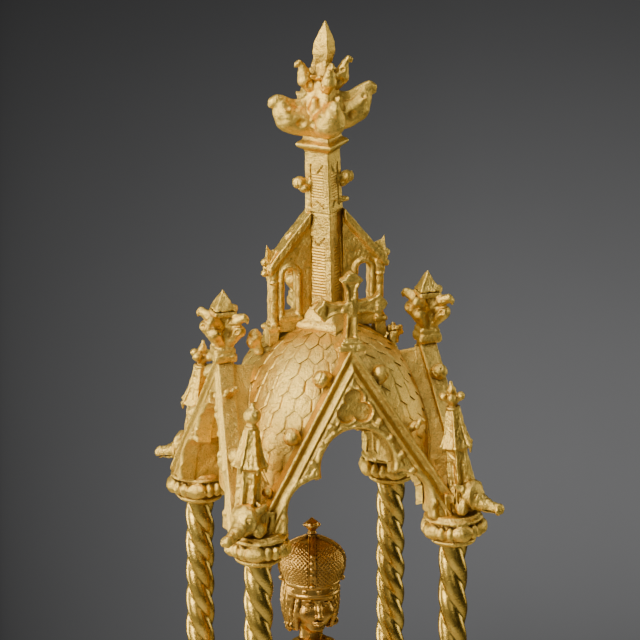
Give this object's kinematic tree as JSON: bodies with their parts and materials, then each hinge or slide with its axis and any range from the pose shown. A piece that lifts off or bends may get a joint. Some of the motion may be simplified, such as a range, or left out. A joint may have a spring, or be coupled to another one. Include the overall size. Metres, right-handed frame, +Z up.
{
  "type": "monstrance",
  "caption": "Gilt tower monstrance: lobed foot, knopped stem, glazed host chamber with rear door, and a gabled canopy with a spire over a crowned statuette.",
  "frame": {"origin": "centre of the underside of the foot", "axes": "+Z up along the stem and spire; -Y is the front, the side of the gable with the cross; +X to the right seen from the front"},
  "size_m": [0.178, 0.178, 0.5845],
  "materials": {
    "gilt_ornament": "satin",
    "gilt_plate": "satin",
    "gilt_polished": "polished",
    "gilt_figure": "satin",
    "brass_base": "satin",
    "steel": "satin",
    "glass": "gloss"
  },
  "bodies": {
    "stand": {"foot_rim": "gilt_ornament", "stem_foot_collar": "gilt_ornament", "knop_collars": "gilt_ornament", "knop_bosses": "gilt_ornament", "calyx": "gilt_ornament", "chamber_floor": "gilt_ornament", "buttress_pinnacles": "gilt_ornament", "front_frame": "gilt_ornament", "hinge_brackets": "gilt_ornament", "lunula_stand": "gilt_ornament", "chamber_roof": "gilt_ornament", "platform_brackets": "gilt_ornament", "upper_platform": "gilt_ornament", "column_bases": "gilt_ornament", "column_capitals": "gilt_ornament", "figure_socle": "gilt_ornament", "canopy_corners": "gilt_ornament", "gargoyles": "gilt_ornament", "corner_pinnacles": "gilt_ornament", "gable_crockets": "gilt_ornament", "gable_cross": "gilt_ornament", "side_finials": "gilt_ornament", "lantern_walls": "gilt_ornament", "spire_crockets": "gilt_ornament", "spire_collar": "gilt_ornament", "top_finial": "gilt_ornament", "foot_shell": "gilt_plate", "lower_stem": "gilt_plate", "knop": "gilt_plate", "upper_stem": "gilt_plate", "buttress_left": "gilt_plate", "buttress_right": "gilt_plate", "gable_front": "gilt_plate", "gable_back": "gilt_plate", "gable_left": "gilt_plate", "gable_right": "gilt_plate", "dome_shell": "gilt_plate", "spire_plinth": "gilt_plate", "spire_shaft": "gilt_plate", "twisted_columns": "gilt_polished", "figure_body": "gilt_figure", "figure_head": "gilt_figure", "figure_crown": "gilt_figure", "foot_base_plate": "brass_base", "base_plate_screws": "steel", "stem_tie_rod": "steel", "tie_rod_nut": "steel", "hinge_pins": "steel", "roof_screws": "steel", "rod_nuts": "steel", "column_rods": "steel", "figure_pin": "steel", "spire_rod": "steel", "front_glass": "glass"},
    "rear_door": {"rear_door_frame": "gilt_ornament", "rear_door_glass": "glass", "door_knob": "gilt_ornament"},
    "lunula": {"lunula_back": "gilt_polished", "lunula_clip_pin": "steel"},
    "lunula_clip": {"lunula_clip": "gilt_polished"}
  },
  "joints": [
    {"name": "rear_door", "type": "hinge", "parent": "stand", "child": "rear_door", "pos_m": [-0.035, 0.0045, 0.178], "axis": [0, 0, 1], "range_deg": [0, 100]},
    {"name": "lunula_lift", "type": "slide", "parent": "stand", "child": "lunula", "axis": [0, 0, 1], "range_m": [0, 0.008]},
    {"name": "lunula_clip", "type": "hinge", "parent": "lunula", "child": "lunula_clip", "pos_m": [0, -0.0046, 0.191], "axis": [1, 0, 0], "range_deg": [0, 35]}
  ]
}
